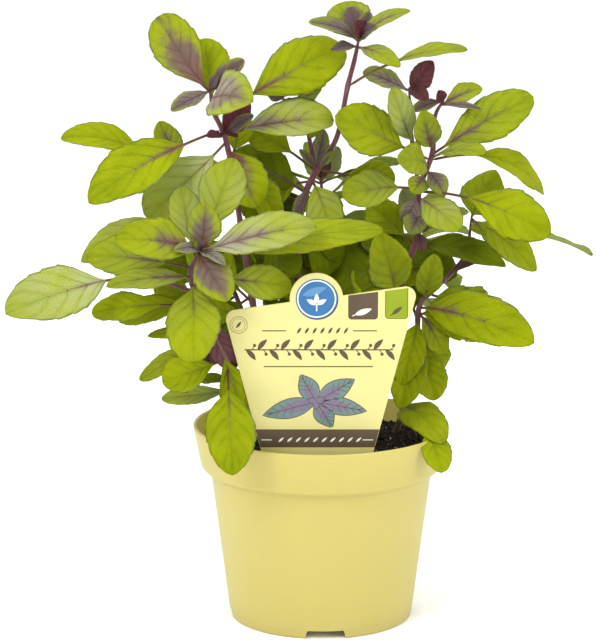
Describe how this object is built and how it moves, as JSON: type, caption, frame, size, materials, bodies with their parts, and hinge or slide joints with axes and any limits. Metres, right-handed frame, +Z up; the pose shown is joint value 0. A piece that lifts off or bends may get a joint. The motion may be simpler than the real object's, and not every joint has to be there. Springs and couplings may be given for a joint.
{
  "type": "potted basil plant",
  "caption": "Leafy bush basil with dark stems growing in a tapered plastic nursery pot, with a printed card plant label standing at the front.",
  "frame": {"origin": "centre of the pot's underside, on the surface it stands on", "axes": "+Z up through the plant, the plant label faces -Y"},
  "size_m": [0.2712, 0.1935, 0.2875],
  "materials": {
    "pot": "satin moulded pale yellow plastic",
    "soil": "rough dark peat with pale specks",
    "label": "smooth printed card",
    "stem": "burgundy, slightly woody",
    "leaf": "satin green with purple veins"
  },
  "bodies": {
    "root": {"pot": "pot", "soil": "soil", "plant_label": "label", "left_stem": "stem", "front_stem": "stem", "tall_stem": "stem", "right_stem": "stem", "outer_stem": "stem", "back_stem": "stem", "leaf_left_top_1": "leaf", "leaf_left_top_2": "leaf", "leaf_left_top_3": "leaf", "leaf_left_top_4": "leaf", "leaf_left_1": "leaf", "leaf_left_2": "leaf", "leaf_left_3": "leaf", "leaf_left_4": "leaf", "leaf_front_1": "leaf", "leaf_front_2": "leaf", "leaf_front_3": "leaf", "leaf_front_4": "leaf", "leaf_front_5": "leaf", "leaf_front_6": "leaf", "leaf_front_7": "leaf", "leaf_front_8": "leaf", "leaf_low_left_1": "leaf", "leaf_low_left_2": "leaf", "leaf_low_left_3": "leaf", "leaf_low_left_4": "leaf", "leaf_low_left_5": "leaf", "leaf_low_left_6": "leaf", "leaf_low_left_7": "leaf", "leaf_low_left_8": "leaf", "leaf_crown_1": "leaf", "leaf_crown_2": "leaf", "leaf_crown_3": "leaf", "leaf_centre_1": "leaf", "leaf_centre_2": "leaf", "leaf_right_top_1": "leaf", "leaf_right_top_2": "leaf", "leaf_right_top_3": "leaf", "leaf_right_top_4": "leaf", "leaf_right_top_5": "leaf", "leaf_right_top_6": "leaf", "leaf_right_1": "leaf", "leaf_right_2": "leaf", "leaf_right_3": "leaf", "leaf_right_4": "leaf", "leaf_right_5": "leaf", "leaf_right_6": "leaf", "leaf_low_right_1": "leaf", "leaf_low_right_2": "leaf", "leaf_low_right_3": "leaf", "leaf_low_right_4": "leaf", "leaf_low_right_5": "leaf", "leaf_back_1": "leaf", "leaf_back_2": "leaf", "leaf_back_3": "leaf", "leaf_back_4": "leaf", "leaf_back_5": "leaf"}
  },
  "joints": []
}
